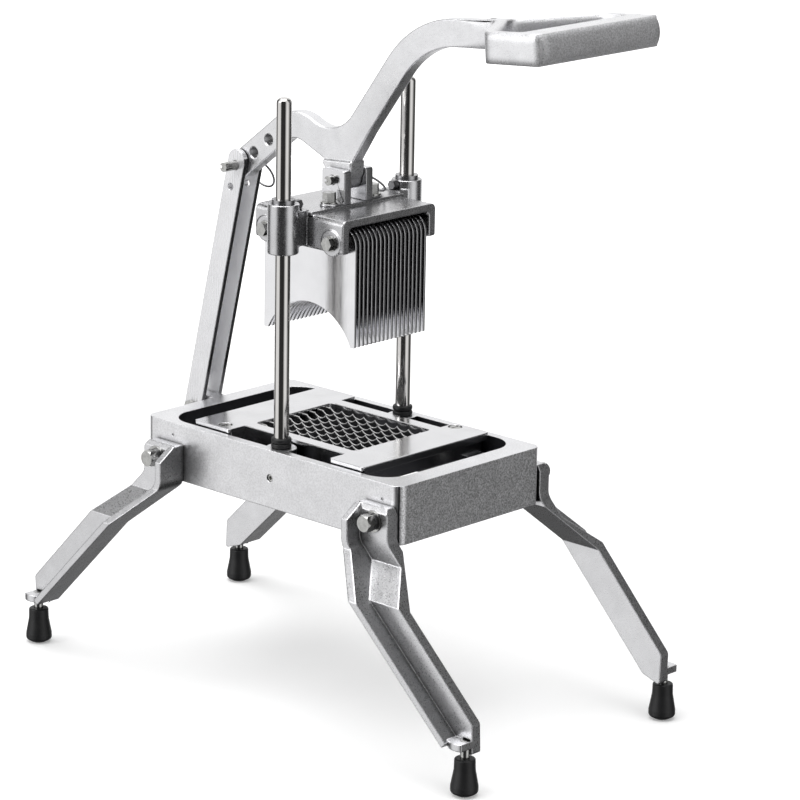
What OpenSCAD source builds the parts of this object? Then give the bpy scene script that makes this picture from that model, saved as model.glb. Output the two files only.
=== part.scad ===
// Manual vegetable slicer: a lever pushes a head of finger plates down two guide rods and
// through a grid of fixed blades.
// X points to the handle end, left and right are those of a person standing there, Z is up.
// The origin is on the table, below the middle of the machine.

/* [Stance] */
// Height of the base frame's top rim above the table
rim_z = 220; // [216:1:226]
// Middle of the base frame, along X
base_mid_x = -6.5; // [-8:0.5:-5]
// Forward shift of the legs from the middle of the base frame
leg_shift = 4.5; // [3:0.5:6]

/* [Base frame] */
// Length of the cast base frame
base_l = 296; // [280:1:320]
// Width of the cast base frame
base_w = 173; // [164:1:190]
// Height of the cast base frame
base_h = 49.5; // [46:0.5:54]
// Width of the front rim
front_rim = 20; // [18:0.5:22]
// Width of the rear rim
rear_rim = 17.5; // [16:0.5:19]
// Thickness of the side walls and of the skirts below the rims
wall_t = 8; // [7:0.5:8.5]
// Thickness of the front and rear rims above their hollow undersides
rim_t = 10; // [8:0.5:12]
// Corner radius in the top opening
opening_r = 24; // [16:1:26]

/* [Legs] */
// Distance of a leg pad's outer edge from the end of the base frame, mean of front and rear
pad_inset = 6; // [5:0.5:9]
// Length of a leg pad along the base frame
pad_l = 36.2; // [34:0.2:42]
// Thickness of the leg pad
pad_t = 12; // [10:0.5:13]
// Depth from the rim to the top of the leg pad
pad_drop = 17; // [14:0.5:19]
// Outward step of the leg below the pad
leg_step = 24; // [22:0.5:25]
// Thickness of the fin along the leg's lower edge
fin_t = 6.4; // [5.4:0.2:7.4]
// Distance of the leg bolts from the outer edge of the pads
leg_bolt_in = 15.5; // [14:0.5:17]
// Depth of the leg bolts below the rim
leg_bolt_drop = 29; // [28:0.5:31]
// Distance of a foot's axis beyond the pad's outer edge
leg_reach = 110.2; // [100:0.2:120]
// Distance of a foot's axis outside the web of its leg
foot_out = 2; // [1.6:0.1:3]
// Height of a rubber foot
foot_h = 31; // [29:0.5:32]
// Largest diameter of a rubber foot
foot_d = 22.5; // [21:0.5:25]

/* [Guide rods] */
// Diameter of the guide rods
rod_d = 12.7; // [12:0.1:13]
// Distance of each guide rod's axis from the side of the base frame
rod_inset = 13.4; // [12.8:0.1:13.8]
// Height of the rods' upper ends above the rim
rod_top = 292.6; // [285:0.2:305]
// Position of the guide rods along X
guide_x = -5; // [-7:0.5:-3]

/* [Blades] */
// Number of blades in the upper row
upper_count = 9; // [5:2:9]
// Distance between neighbouring finger plates, and between blades of both rows
pitch = 4.85; // [4.7:0.05:4.9]
// Thickness of a blade
blade_t = 0.8; // [0.5:0.1:1]
// Length of one scallop of the cutting edge
scallop_pitch = 13; // [10:0.5:14]
// Depth of one scallop of the cutting edge
scallop_depth = 3; // [2:0.25:3.5]
// Length of the blade frame
frame_l = 197.5; // [190:0.5:200]
// Length of the window in the blade frame
window_l = 116; // [112:1:118]
// Width of the window in the blade frame
window_w = 92; // [90:0.5:93]

/* [Head] */
// Length of the head casting
head_l = 99.8; // [98:0.2:103]
// Width of the head casting over its side walls
head_w = 110.8; // [109.6:0.2:112]
// Thickness of the head's side walls
head_wall = 8; // [6.5:0.5:8.5]
// Outer diameter of the guide sleeves
sleeve_d = 26; // [25:0.5:27]
// Number of finger plates
plate_count = 18; // [10:2:18]
// Thickness of a finger plate
plate_t = 2.2; // [1.8:0.1:2.4]
// Length of a finger plate
plate_l = 104.6; // [102:0.2:107]
// Height of the finger plates' feet above the rim
plate_low = 88.4; // [84:0.4:96]
// Height of the middle of the arch above the rim
arch_high = 118.5; // [114:0.5:124]

/* [Lever and link] */
// Height of the lever's middle pivot above the rim, with the head raised
head_pivot_up = 217; // [210:0.5:224]
// Distance of the lever's rear pivot behind its middle pivot
rear_arm = 119; // [116:0.5:122]
// Depth of the lever's rear pivot below its middle pivot
rear_drop = 6.5; // [5:0.5:8]
// Distance of the link's lower pivot behind the base frame
foot_pivot_back = 21.5; // [21:0.5:24]
// Depth of the link's lower pivot below the rim
foot_pivot_down = 12; // [11:0.5:13]
// Height of the lever bar, seen from the side
lever_w = 22.8; // [21.4:0.2:24]
// Thickness of the lever bar
lever_t = 12.6; // [11.6:0.2:13]
// Diameter of the pivot pins
pivot_d = 8; // [7.6:0.1:8.4]
// Thickness of the link's two flanges
flange_t = 4.7; // [4:0.1:5.2]
// Depth of the link channel
link_depth = 19.6; // [18:0.2:20.4]

/* [Handle loop] */
// Width of the handle loop
loop_w = 143; // [136:1:148]
// Height of the handle loop's rim
loop_h = 24.6; // [22.6:0.2:26]
// Rise of the handle above the horizontal, in degrees
handle_rise = 4.7; // [3:0.1:6]

/* [Hidden] */

$fn = 48;

// Clearances
fit_gap = 0.05;
screw_gap = 0.2;
side_gap = 0.4;
cut = 1;

// Base frame
base_bottom = rim_z - base_h;
base_rear = base_mid_x - base_l / 2;
base_front = base_mid_x + base_l / 2;
half_w = base_w / 2;
opening_w = base_w - 2 * wall_t;
corner_r = 9;
boss_d = 26;
ledge_top = rim_z - 16.3;
ledge_t = 12;
ledge_reach = 16.5;
dimple_d = 2.2;
dimple_end = [33.5, 18.8];
dimple_drop = [10.8, 13.4];

// Guide rods
rod_y = half_w - rod_inset;
set_screw_z = base_bottom + 25.5;
set_screw_d = 6;
bumper = [17, 4.4];

// Blade frame
frame_t = 20;
frame_gap = 2;
frame_w = opening_w - 2 * frame_gap;
rail_w = 2 * (rod_y - boss_d / 2 - frame_gap - 0.1);
frame_x = [-frame_l / 2 - 2.2, frame_l / 2 - 2.2];
wing_in = 58;
frame_top = ledge_top + frame_t;
frame_lip = [8, 6.6];
frame_edge = 0.6;
screw_y = frame_w / 2 - 8.5;
screw_spots = [[frame_x[0] + 29.4, -screw_y], [frame_x[1] - 31, screw_y]];
screw_d = 6;
screw_tip_z = base_bottom - 6.5;
screw_head = [11, 3.6];
screw_slot = [1.2, 2];
counterbore = [12, 4];
nut_across = 10;
nut_t = 5;

// Blades
lower_count = upper_count - 1;
upper_top = frame_top - 2.2;
lower_top = upper_top - 5.8;
blade_h = [12, 11];
blade_half = [window_l / 2 + 8, window_l / 2 + 14];
pin_x = [blade_half[0] - 4, blade_half[1] - 4];
pin_z = [upper_top - 3.8, lower_top - 6.2];
blade_pin_d = 3;
pin_stop_y = 10 - screw_y;
slot_gap = 0.1;

// Legs
feet_mid_x = base_mid_x + leg_shift;
pad_out_x = base_l / 2 - pad_inset;
pad_in_x = pad_out_x - pad_l;
pad_top = rim_z - pad_drop;
pad_face = half_w + pad_t;
web_t = 10;
web_in = half_w + leg_step;
web_face = web_in + web_t;
fin_out = 15.3;
foot_x = pad_out_x + leg_reach;
foot_y = web_face + foot_out;
foot_top_d = 17;
foot_sole_d = 12;
leg_end_x = foot_x + 5.5;
leg_end_z = foot_h + 2;
leg_top_end_z = leg_end_z + 26;
toe_x = foot_x - 13;
toe_z = leg_end_z + 6;
bend_z = base_bottom - 0.5;
step_top_z = base_bottom - 11.5;
step_low_z = step_top_z - 22.5;
step_out = 4.5;
shelf_t = 6;
shelf_z = foot_h + 8.5;
stud_d = 8;
stud_depth = 20;
leg_bolt_x = pad_out_x - leg_bolt_in;
leg_bolt_z = rim_z - leg_bolt_drop;
leg_bolt_d = 8;
leg_bolt_head = [13, 8];
washer = [18, 1.6];
spring_washer = [14, 2.2];
leg_nut_t = 6.5;
nut_seat_y = half_w - wall_t;
nut_seat_d = 19;

// Pivots, each as [x, z]
head_pivot = [guide_x, rim_z + head_pivot_up];
top_pivot = head_pivot - [rear_arm, rear_drop];
foot_pivot = [base_rear - foot_pivot_back, rim_z - foot_pivot_down];
link_l = norm(top_pivot - foot_pivot);
link_lean = atan2(top_pivot[0] - foot_pivot[0], top_pivot[1] - foot_pivot[1]);
ring_wire = 1.8;
ring_r = 13;
ring_hole = 2 * ring_wire;
pin_tail = 6;
clevis_pin_out = 5;

// Clevis
hub_r = pivot_d / 2 + 5.9;
hub_t = 17;
hub_rear = [-19.8, 13.2];
hub_front = [12.8, 15.4];
ear_x = [-11.7, 14.3];
ear_t = 8;
ear_gap = 0.3;
ear_in = hub_t / 2 + ear_gap;
ear_out = ear_in + ear_t;
ear_top = head_pivot[1] + 9;
deck_top = head_pivot[1] - hub_r - 9.1;
ear_foot_t = 2;
clevis_washer = [14.6, 1.4];
clevis_bolt_x = guide_x + 5.6;
clevis_bolt_y = ear_out + clevis_washer[0] / 2 + 1.4;
clevis_bolt_d = 6;
clevis_bolt_head = [10, 7.8];

// Head
head_top = deck_top - 2.5;
head_bottom = head_top - 27.5;
head_plate_t = 6.5;
deck_x = [7.9 - head_l / 2, ear_x[1] + 0.2];
half_head = head_w / 2;
sleeve_z = [head_bottom - 3.4, deck_top + 8];
sleeve_neck = 20;
bush_d = rod_d + 4.3;
bush_flange = [bush_d + 2.5, 3.4];
bush_screw_z = sleeve_z[1] - 3.3;
bush_screw_d = 4;
bush_screw_head = [7, 6];
plate_top = head_top - 8.5;
plate_bolt_x = head_l / 2 - 12.4;
plate_bolt_z = head_bottom + 8;
plate_bolt_d = 6;
plate_bolt_head = [10, 4.5];
plate_washer = [13, 1.2];
plate_boss_d = 22;
spacer_d = 13;
boss_face = half_head + 0.8;
plate_face = ((plate_count - 1) * pitch + plate_t) / 2;

// Link channel
link_gap = 1;
link_in = lever_t / 2 + link_gap;
link_half = link_in + flange_t;
link_front = link_depth / 2;
link_end_r = link_front - 0.3;
lug_t = 2 * (link_in - side_gap);
lug_r = foot_pivot_down;
web_ends = [24, link_l - 15];
slot_half = pivot_d / 2 + 0.8;

// Lever, whose middle line starts at the rear pivot: straight tail, arc over the crest,
// arc through the dip, straight rise, arc over the shoulder, straight to the handle
tail_rise = 37.6;
dip_fall = 26.8;
neck_rise = 53.5;
tail_l = 61;
crest_r = 30.3;
dip_r = 46.7;
neck_l = 65.8;
shoulder_r = 88.3;
crest_at = top_pivot + tail_l * heading(tail_rise) + crest_r * heading(tail_rise - 90);
dip_at = crest_at + (crest_r + dip_r) * heading(90 - dip_fall);
neck_end = dip_at + dip_r * heading(neck_rise - 90) + neck_l * heading(neck_rise);
shoulder_at = neck_end + shoulder_r * heading(neck_rise - 90);
bar_end = shoulder_at + shoulder_r * heading(handle_rise + 90);

// Handle loop, measured along the bar from the end of the shoulder
loop_neck = 44;
loop_rear = 90;
loop_front = 143.5;
loop_crown = 4.5;
loop_wall = 9;
hole_rear = 53.5;
hole_front = loop_front - 23.5;
spare_hole_d = 9;
spare_holes = [21, 43];

function heading(a) = [cos(a), sin(a)];

function arc(at, r, a0, a1, n) = [for (i = [0 : n]) at + r * heading(a0 + (a1 - a0) * i / n)];

function unit(v) = v / norm(v);

// Turn from angle a to angle b by the shorter way
function turn(a, b) = let(d = b - a) d > 180 ? d - 360 : d < -180 ? d + 360 : d;

// Points that round the corner b between a and c
function fillet(a, b, c, r, n) =
    let(
        u = unit(a - b),
        w = unit(c - b),
        half = acos(u * w) / 2,
        at = b + unit(u + w) * r / sin(half),
        p = b + u * r / tan(half) - at,
        q = b + w * r / tan(half) - at,
        a0 = atan2(p[1], p[0])
    )
    arc(at, r, a0, a0 + turn(a0, atan2(q[1], q[0])), n);

// Outline with each corner rounded to its own radius, 0 for a sharp one
function rounded(points, radii, n = 6) = [
    for (i = [0 : len(points) - 1])
        let(
            k = len(points),
            before = points[(i + k - 1) % k],
            after = points[(i + 1) % k]
        )
        each radii[i] > 0 ? fillet(before, points[i], after, radii[i], n) : [points[i]]
];

// Middle and length of the blade frame's wing at end i, along the rods' line
function wing_mid(i) = (frame_x[i] + (2 * i - 1) * wing_in) / 2;

function wing_l(i) = abs(frame_x[i]) - wing_in;

module box(low, high) translate(low) cube(high - low);

module pin_y(at, y, d) translate([at[0], y[0], at[1]]) rotate([-90, 0, 0])
    cylinder(h = y[1] - y[0], d = d);

module hex_y(at, y, across) translate([at[0], y[0], at[1]]) rotate([-90, 0, 0])
    cylinder(h = y[1] - y[0], d = across / cos(30), $fn = 6);

module ring_y(at, y, d_out, d_in) difference() {
    pin_y(at, y, d_out);
    pin_y(at, [y[0] - cut, y[1] + cut], d_in);
}

// Side view outline, as thick as the stretch y
module slab_y(y) translate([0, y[1], 0]) rotate([90, 0, 0]) linear_extrude(y[1] - y[0])
    children();

// Front view outline, as thick as the stretch x
module slab_x(x) translate([x[0], 0, 0]) rotate([90, 0, 90]) linear_extrude(x[1] - x[0])
    children();

module round_rect(l, w, r) {
    square([l - 2 * r, w], center = true);
    square([l, w - 2 * r], center = true);
    for (sx = [-1, 1], sy = [-1, 1])
        translate([sx * (l / 2 - r), sy * (w / 2 - r)]) circle(r);
}

module both_sides() {
    children();
    mirror([0, 1, 0]) children();
}

// Copies to the four legs from the one at the front right
module at_leg(front, right) translate([feet_mid_x, 0, 0])
    mirror([front ? 0 : 1, 0, 0]) mirror([0, right ? 0 : 1, 0]) children();

module at_all_legs() for (front = [false, true], right = [false, true])
    at_leg(front, right) children();

// A wire ring through a crosswise hole, hanging down and leaning outwards
module wire_ring(at, y, lean) translate([at[0], y, at[1]]) rotate([lean, 0, 0])
    translate([0, 0, -ring_r]) rotate([90, 0, 0]) rotate_extrude() translate([ring_r, 0])
    circle(d = ring_wire, $fn = 24);

// Base frame: cast open box with rod bosses, ledges for the blade frame and the link's lug

module base_walls() difference() {
    translate([base_mid_x, 0, base_bottom]) linear_extrude(base_h)
        round_rect(base_l, base_w, corner_r);
    translate([(base_rear + rear_rim + base_front - front_rim) / 2, 0, base_bottom - cut])
        linear_extrude(base_h + 2 * cut)
        round_rect(base_l - front_rim - rear_rim, opening_w, opening_r);
    translate([base_mid_x, 0, base_bottom - cut]) linear_extrude(base_h - rim_t + cut)
        round_rect(base_l - 2 * wall_t, opening_w, 6);
}

module link_lug() slab_y([-lug_t / 2, lug_t / 2]) {
    translate(foot_pivot) circle(lug_r);
    polygon([
        foot_pivot + [0, lug_r],
        [base_rear + wall_t / 2, foot_pivot[1] + lug_r],
        [base_rear + wall_t / 2, rim_z - 38],
        [base_rear, rim_z - 38],
        foot_pivot + lug_r * heading(239)
    ]);
}

module base_frame() color("silver") difference() {
    union() {
        base_walls();
        both_sides() {
            translate([guide_x, rod_y, base_bottom]) cylinder(h = base_h, d = boss_d);
            for (i = [0, 1])
                translate([guide_x + wing_mid(i), 0, ledge_top])
                    box([-wing_l(i) / 2, frame_w / 2 - ledge_reach, -ledge_t],
                        [wing_l(i) / 2, half_w - wall_t / 2, 0]);
        }
        link_lug();
    }
    both_sides() {
        translate([guide_x, rod_y, base_bottom - cut])
            cylinder(h = base_h + 2 * cut, d = rod_d + 2 * fit_gap);
        pin_y([guide_x, set_screw_z], [rod_y, half_w + cut], set_screw_d + 2 * fit_gap);
    }
    at_all_legs() {
        pin_y([leg_bolt_x, leg_bolt_z], [nut_seat_y - cut, half_w + cut],
            leg_bolt_d + 2 * screw_gap);
        pin_y([leg_bolt_x, leg_bolt_z], [nut_seat_y - leg_nut_t - 1.5, nut_seat_y], nut_seat_d);
    }
    for (spot = screw_spots)
        translate([guide_x + spot[0], spot[1], ledge_top - ledge_t - cut])
            cylinder(h = ledge_t + 2 * cut, d = screw_d + 2 * screw_gap);
    pin_y(foot_pivot, [-lug_t, lug_t], pivot_d + 2 * fit_gap);
    for (spot = [
        [base_rear + dimple_end[0], rim_z - dimple_drop[0]],
        [base_front - dimple_end[1], rim_z - dimple_drop[1]]
    ])
        pin_y(spot, [-half_w - cut, -half_w + 1], dimple_d);
}

// Legs: angle castings, a web that steps outwards and a fin along its lower edge

module leg_side() polygon(rounded(
    [
        [pad_in_x, pad_top],
        [pad_out_x - 3, pad_top],
        [pad_out_x, pad_top - 6],
        [pad_out_x, bend_z + 5],
        [leg_end_x, leg_top_end_z],
        [leg_end_x, leg_end_z],
        [toe_x, toe_z],
        [pad_in_x, bend_z]
    ],
    [2, 3, 3, 12, 6, 2, 4, 16]
));

module fin_side() polygon(rounded(
    [
        [pad_in_x, pad_top],
        [pad_in_x + fin_t, pad_top],
        [pad_in_x + fin_t, bend_z + fin_t - 3.8],
        [toe_x + 4, toe_z + 4],
        [toe_x, toe_z],
        [pad_in_x, bend_z]
    ],
    [2, 2, 12, 1, 1, 16]
));

module web_front() polygon([
    [half_w, pad_top],
    [pad_face - 3, pad_top],
    [pad_face, pad_top - 4],
    [pad_face, step_top_z],
    [web_face + step_out, step_low_z],
    [web_face, leg_end_z],
    [web_in, leg_end_z],
    [web_in + step_out, step_low_z - 4],
    [half_w, bend_z - 2]
]);

module fin_front() polygon([
    [half_w, pad_top],
    [pad_face - 1, pad_top],
    [pad_face + fin_out, pad_top - 11],
    [pad_face + fin_out, bend_z - 2],
    [web_face + step_out + fin_out, step_low_z],
    [web_face + fin_out, leg_end_z],
    [web_in, leg_end_z],
    [web_in + step_out, step_low_z - 4],
    [half_w, bend_z - 2]
]);

module foot_shelf() intersection() {
    translate([foot_x - 1, web_face - 1, shelf_z]) cylinder(h = shelf_t, r = fin_out);
    box([toe_x, web_face - 2, shelf_z], [leg_end_x, web_face + fin_out, shelf_z + shelf_t]);
}

module leg() color("gainsboro") difference() {
    union() {
        intersection() {
            slab_y([half_w, 2 * half_w]) leg_side();
            slab_x([pad_in_x - cut, leg_end_x + cut]) web_front();
        }
        intersection() {
            slab_y([half_w, 2 * half_w]) fin_side();
            slab_x([pad_in_x - cut, leg_end_x + cut]) fin_front();
        }
        foot_shelf();
    }
    pin_y([leg_bolt_x, leg_bolt_z], [half_w - cut, pad_face + cut], leg_bolt_d + 2 * screw_gap);
    translate([foot_x, foot_y, leg_end_z - cut])
        cylinder(h = shelf_z + shelf_t - leg_end_z + 2 * cut, d = stud_d + 2 * fit_gap);
}

module leg_front_left() at_leg(true, false) leg();

module leg_front_right() at_leg(true, true) leg();

module leg_rear_left() at_leg(false, false) leg();

module leg_rear_right() at_leg(false, true) leg();

module leg_bolts() color("darkgray") at_all_legs() {
    face = pad_face + washer[1] + spring_washer[1];
    pin_y([leg_bolt_x, leg_bolt_z], [nut_seat_y - leg_nut_t - 1.5, face + cut], leg_bolt_d);
    intersection() {
        hex_y([leg_bolt_x, leg_bolt_z], [face, face + leg_bolt_head[1]], leg_bolt_head[0]);
        translate([leg_bolt_x, face, leg_bolt_z]) rotate([-90, 0, 0])
            cylinder(h = leg_bolt_head[1], d1 = 1.7 * leg_bolt_head[0], d2 = leg_bolt_head[0]);
    }
}

module leg_washers() color("silver") at_all_legs()
    ring_y([leg_bolt_x, leg_bolt_z], [pad_face, pad_face + washer[1]], washer[0],
        leg_bolt_d + 2 * screw_gap);

module leg_spring_washers() color("dimgray") at_all_legs() difference() {
    face = pad_face + washer[1];
    ring_y([leg_bolt_x, leg_bolt_z], [face, face + spring_washer[1]], spring_washer[0],
        leg_bolt_d + 2 * screw_gap);
    translate([leg_bolt_x, face, leg_bolt_z]) rotate([0, 12, 0])
        box([-0.5, -cut, 0], [0.5, spring_washer[1] + cut, spring_washer[0]]);
}

module leg_nuts() color("silver") at_all_legs() difference() {
    hex_y([leg_bolt_x, leg_bolt_z], [nut_seat_y - leg_nut_t, nut_seat_y], leg_bolt_head[0]);
    pin_y([leg_bolt_x, leg_bolt_z], [nut_seat_y - leg_nut_t - cut, nut_seat_y + cut],
        leg_bolt_d + 2 * fit_gap);
}

module foot_studs() color("gray") at_all_legs()
    translate([foot_x, foot_y, foot_h - stud_depth])
    cylinder(h = shelf_z + shelf_t - foot_h + stud_depth, d = stud_d);

module foot() color("black") translate([foot_x, foot_y, 0]) rotate_extrude() difference() {
    polygon(rounded(
        [
            [0, 0],
            [foot_sole_d / 2, 0],
            [foot_d / 2, foot_h * 0.1],
            [foot_d / 2, foot_h * 0.26],
            [foot_top_d / 2 + 0.2, foot_h * 0.7],
            [foot_top_d / 2, foot_h],
            [0, foot_h]
        ],
        [0, 3, 3, 4, 20, 1.5, 0]
    ));
    translate([-cut, foot_h - stud_depth - fit_gap])
        square([stud_d / 2 + fit_gap + cut, stud_depth + cut]);
}

module foot_front_left() at_leg(true, false) foot();

module foot_front_right() at_leg(true, true) foot();

module foot_rear_left() at_leg(false, false) foot();

module foot_rear_right() at_leg(false, true) foot();

// Guide rods, clamped in the base by set screws, with two rubber bumpers at the foot of each

module guide_rod(side) color("lightgray") translate([guide_x, side * rod_y, base_bottom + 2])
    rotate_extrude() polygon(rounded(
        [
            [0, 0],
            [rod_d / 2, 0],
            [rod_d / 2, rod_top + base_h - 2],
            [0, rod_top + base_h - 2]
        ],
        [0, 1, 4, 0]
    ));

module guide_rod_left() guide_rod(-1);

module guide_rod_right() guide_rod(1);

module rod_set_screws() color("dimgray") both_sides() difference() {
    pin_y([guide_x, set_screw_z], [rod_y + rod_d / 2 + fit_gap, half_w - 1], set_screw_d);
    hex_y([guide_x, set_screw_z], [half_w - 4, half_w], set_screw_d / 2);
}

module rod_bumpers() color("black") both_sides() for (i = [0, 1])
    translate([guide_x, rod_y, rim_z + i * bumper[1]]) rotate_extrude() polygon(rounded(
        [
            [rod_d / 2 + fit_gap, 0],
            [bumper[0] / 2, 0],
            [bumper[0] / 2, bumper[1] - 0.1],
            [rod_d / 2 + fit_gap, bumper[1] - 0.1]
        ],
        [0, 1.6, 1.6, 0]
    ));

// Blade frame: flat frame with a window, slots for the blade ends and bores for their pins

module blade_frame_body() intersection() {
    translate([guide_x, 0, ledge_top]) linear_extrude(frame_t) difference() {
        union() {
            translate([frame_x[0], -rail_w / 2]) square([frame_l, rail_w]);
            for (i = [0, 1])
                translate([wing_mid(i), 0]) round_rect(wing_l(i), frame_w, 3);
        }
        round_rect(window_l, window_w, 4);
    }
    slab_y([-half_w, half_w]) translate([guide_x, ledge_top]) polygon([
        [frame_x[0], 0],
        [frame_x[1] - frame_lip[0], 0],
        [frame_x[1] - frame_lip[0], frame_t - frame_lip[1]],
        [frame_x[1], frame_t - frame_lip[1]],
        [frame_x[1], frame_t - frame_edge],
        [frame_x[1] - frame_edge, frame_t],
        [frame_x[0] + frame_edge, frame_t],
        [frame_x[0], frame_t - frame_edge]
    ]);
}

module blade_slots(count, half_l, low, high) for (i = [0 : count - 1], end = [-1, 1])
    translate([guide_x + end * half_l, (i - (count - 1) / 2) * 2 * pitch, 0])
        box([min(0, -end * 15) - slot_gap, -blade_t / 2 - slot_gap, low - slot_gap],
            [max(0, -end * 15) + slot_gap, blade_t / 2 + slot_gap, high + slot_gap]);

module blade_frame() color("lightgray") difference() {
    blade_frame_body();
    blade_slots(upper_count, blade_half[0], upper_top - blade_h[0], upper_top);
    blade_slots(lower_count, blade_half[1], lower_top - blade_h[1], lower_top);
    for (row = [0, 1], end = [-1, 1])
        blade_pin(row, end, [pin_stop_y, frame_w], blade_pin_d + 2 * fit_gap);
    for (spot = screw_spots) translate([guide_x + spot[0], spot[1], 0]) {
        translate([0, 0, ledge_top - cut])
            cylinder(h = frame_t + 2 * cut, d = screw_d + 2 * screw_gap);
        translate([0, 0, frame_top - counterbore[1]]) cylinder(h = frame_t, d = counterbore[0]);
    }
}

module blade_side(half_l, h, pin) difference() {
    r = (pow(scallop_pitch / 2, 2) + pow(scallop_depth, 2)) / 2 / scallop_depth;
    count = floor(window_l / scallop_pitch);
    translate([-half_l, -h]) square([2 * half_l, h]);
    for (i = [0 : count - 1])
        translate([(i - (count - 1) / 2) * scallop_pitch, r - scallop_depth]) circle(r);
    for (end = [-1, 1])
        translate([end * pin[0], pin[1]]) circle(d = blade_pin_d + 2 * fit_gap);
}

module blade_row(count, half_l, h, top, pin) for (i = [0 : count - 1])
    translate([guide_x, (i - (count - 1) / 2) * 2 * pitch, top])
    slab_y([-blade_t / 2, blade_t / 2]) blade_side(half_l, h, [pin[0], pin[1] - top]);

module upper_blades() color("whitesmoke")
    blade_row(upper_count, blade_half[0], blade_h[0], upper_top, [pin_x[0], pin_z[0]]);

module lower_blades() color("whitesmoke")
    blade_row(lower_count, blade_half[1], blade_h[1], lower_top, [pin_x[1], pin_z[1]]);

// Stretch y of a blade pin, from the side without a frame screw
module blade_pin(row, end, y, d) mirror([0, end > 0 ? 1 : 0, 0])
    pin_y([guide_x + end * pin_x[row], pin_z[row]], y, d);

module blade_pins() color("gray") for (row = [0, 1], end = [-1, 1])
    blade_pin(row, end, [pin_stop_y + 0.2, frame_w / 2 - 1], blade_pin_d);

module frame_screws() color("silver") for (spot = screw_spots)
    translate([guide_x + spot[0], spot[1], 0]) difference() {
        union() {
            translate([0, 0, screw_tip_z])
                cylinder(h = frame_top - counterbore[1] - screw_tip_z, d = screw_d);
            translate([0, 0, frame_top - counterbore[1]])
                rotate_extrude() polygon(rounded(
                    [
                        [0, 0],
                        [screw_head[0] / 2, 0],
                        [screw_head[0] / 2, screw_head[1]],
                        [0, screw_head[1]]
                    ],
                    [0, 0, 1.5, 0]
                ));
        }
        translate([0, 0, frame_top - counterbore[1] + screw_head[1] - screw_slot[1]])
            box([-screw_slot[0] / 2, -screw_head[0], 0],
                [screw_slot[0] / 2, screw_head[0], screw_slot[1] + cut]);
    }

module frame_screw_nuts() color("silver") for (spot = screw_spots)
    translate([guide_x + spot[0], spot[1], ledge_top - ledge_t - nut_t]) difference() {
        cylinder(h = nut_t, d = nut_across / cos(30), $fn = 6);
        translate([0, 0, -cut]) cylinder(h = nut_t + 2 * cut, d = screw_d + 2 * fit_gap);
    }

module link_foot_pin() color("lightgray") {
    pin_y(foot_pivot, [-link_half - 1, link_half + 4], pivot_d);
    pin_y(foot_pivot, [-link_half - 3.5, -link_half - 0.6], pivot_d + 5);
}

module link_foot_clip() color("dimgray") difference() {
    ring_y(foot_pivot, [link_half + 0.8, link_half + 2], pivot_d + 6, pivot_d + 2 * fit_gap);
    translate([foot_pivot[0], link_half, foot_pivot[1]]) box([-3, -cut, -10], [3, 4, 0]);
}

// Head: channel casting with two guide sleeves

module head_section() difference() {
    polygon(rounded(
        [
            [-half_head, head_bottom],
            [half_head, head_bottom],
            [half_head, head_top],
            [-half_head, head_top]
        ],
        [2, 2, 5, 5]
    ));
    polygon(rounded(
        [
            [head_wall - half_head, head_bottom - 9],
            [half_head - head_wall, head_bottom - 9],
            [half_head - head_wall, head_top - head_plate_t],
            [head_wall - half_head, head_top - head_plate_t]
        ],
        [0, 0, 4, 4]
    ));
}

module head_casting() color("silver") difference() {
    union() {
        slab_x([guide_x - head_l / 2, guide_x + head_l / 2]) head_section();
        box([guide_x + deck_x[0], -half_head, head_top - cut],
            [guide_x + deck_x[1], half_head, deck_top]);
        both_sides() {
            for (end = [-1, 1])
                pin_y([guide_x + end * plate_bolt_x, plate_bolt_z],
                    [half_head - head_wall, boss_face], plate_boss_d);
            translate([guide_x, rod_y, sleeve_z[0]])
                cylinder(h = sleeve_z[1] - sleeve_z[0], d = sleeve_d);
            box([guide_x - sleeve_neck / 2, half_head - 2, head_bottom + 2],
                [guide_x + sleeve_neck / 2, rod_y - sleeve_d / 2 + 5, deck_top + 1]);
        }
    }
    both_sides() {
        translate([guide_x, rod_y, sleeve_z[0] - cut])
            cylinder(h = sleeve_z[1] - sleeve_z[0] + 2 * cut, d = bush_d + 2 * fit_gap);
        for (end = [-1, 1])
            pin_y([guide_x + end * plate_bolt_x, plate_bolt_z], [0, half_w],
                plate_bolt_d + 2 * screw_gap);
        pin_y([guide_x, bush_screw_z], [rod_y - sleeve_d / 2 - cut, rod_y],
            bush_screw_d + 2 * fit_gap);
        translate([clevis_bolt_x, clevis_bolt_y, head_top - head_plate_t - cut])
            cylinder(h = head_plate_t + deck_top - head_top + 2 * cut,
                d = clevis_bolt_d + 2 * fit_gap);
    }
}

module guide_bushings() color("darkkhaki") both_sides() translate([guide_x, rod_y, 0])
    difference() {
        union() {
            translate([0, 0, sleeve_z[0]])
                cylinder(h = sleeve_z[1] - sleeve_z[0], d = bush_d);
            translate([0, 0, sleeve_z[1]]) cylinder(h = bush_flange[1], d = bush_flange[0]);
        }
        translate([0, 0, sleeve_z[0] - cut])
            cylinder(h = sleeve_z[1] - sleeve_z[0] + bush_flange[1] + 2 * cut,
                d = rod_d + 2 * fit_gap);
    }

module bushing_screws() color("dimgray") both_sides() {
    screw_at = [guide_x, bush_screw_z];
    face = rod_y - sleeve_d / 2 - 0.1;
    pin_y(screw_at, [face - cut, rod_y - bush_d / 2 - screw_gap], bush_screw_d);
    hex_y(screw_at, [face - bush_screw_head[1], face], bush_screw_head[0]);
}

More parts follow.
